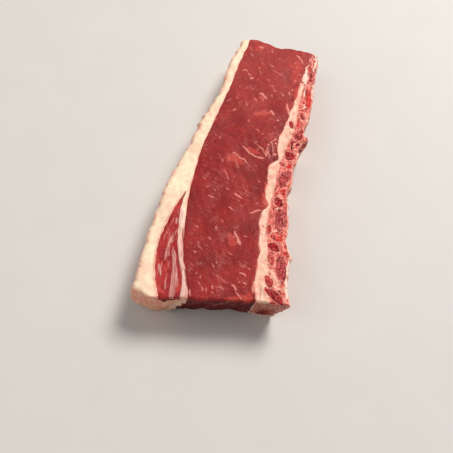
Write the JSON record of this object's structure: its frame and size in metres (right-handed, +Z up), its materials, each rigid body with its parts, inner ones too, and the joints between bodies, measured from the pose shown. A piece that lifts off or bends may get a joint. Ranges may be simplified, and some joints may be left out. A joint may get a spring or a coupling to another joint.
{
  "type": "beef rib roast",
  "caption": "Raw beef rib roast: a long slab cut across the ribs, with a red eye muscle, a fat cap with a tongue of cap muscle, and a fatty rib side with sawn bones and small muscles.",
  "frame": {"origin": "on the resting face, under the middle of the slab", "axes": "+Z up out of the upper cut face, +Y along the slab from the end with the cap muscle to the narrow end, +X across it from the fat cap to the ribs"},
  "size_m": [0.1498, 0.3519, 0.0426],
  "materials": {
    "lean_meat": "moist raw beef with fine marbling",
    "cap_meat": "moist raw beef with long pale streaks",
    "cap_fat": "soft cream fat, faintly greasy",
    "rib_side_fat": "soft cream to pink fat with membranes",
    "sawn_bone": "sawn spongy bone, maroon with pale netting",
    "rib_meat": "moist dark raw beef"
  },
  "bodies": {
    "root": {"lean_eye": "lean_meat", "cap_muscle": "cap_meat", "fat_cap": "cap_fat", "rib_fat": "rib_side_fat", "rib_bone_1": "sawn_bone", "rib_bone_2": "sawn_bone", "rib_bone_3": "sawn_bone", "rib_bone_4": "sawn_bone", "rib_muscle_1": "rib_meat", "rib_muscle_2": "rib_meat", "rib_muscle_3": "rib_meat", "rib_muscle_4": "rib_meat", "rib_muscle_5": "rib_meat", "rib_muscle_6": "rib_meat", "rib_muscle_7": "rib_meat", "rib_muscle_8": "rib_meat", "rib_muscle_9": "rib_meat", "rib_muscle_10": "rib_meat", "rib_muscle_11": "rib_meat", "rib_muscle_12": "rib_meat", "rib_muscle_13": "rib_meat", "rib_muscle_14": "rib_meat", "rib_muscle_15": "rib_meat", "end_muscle": "rib_meat"}
  },
  "joints": []
}
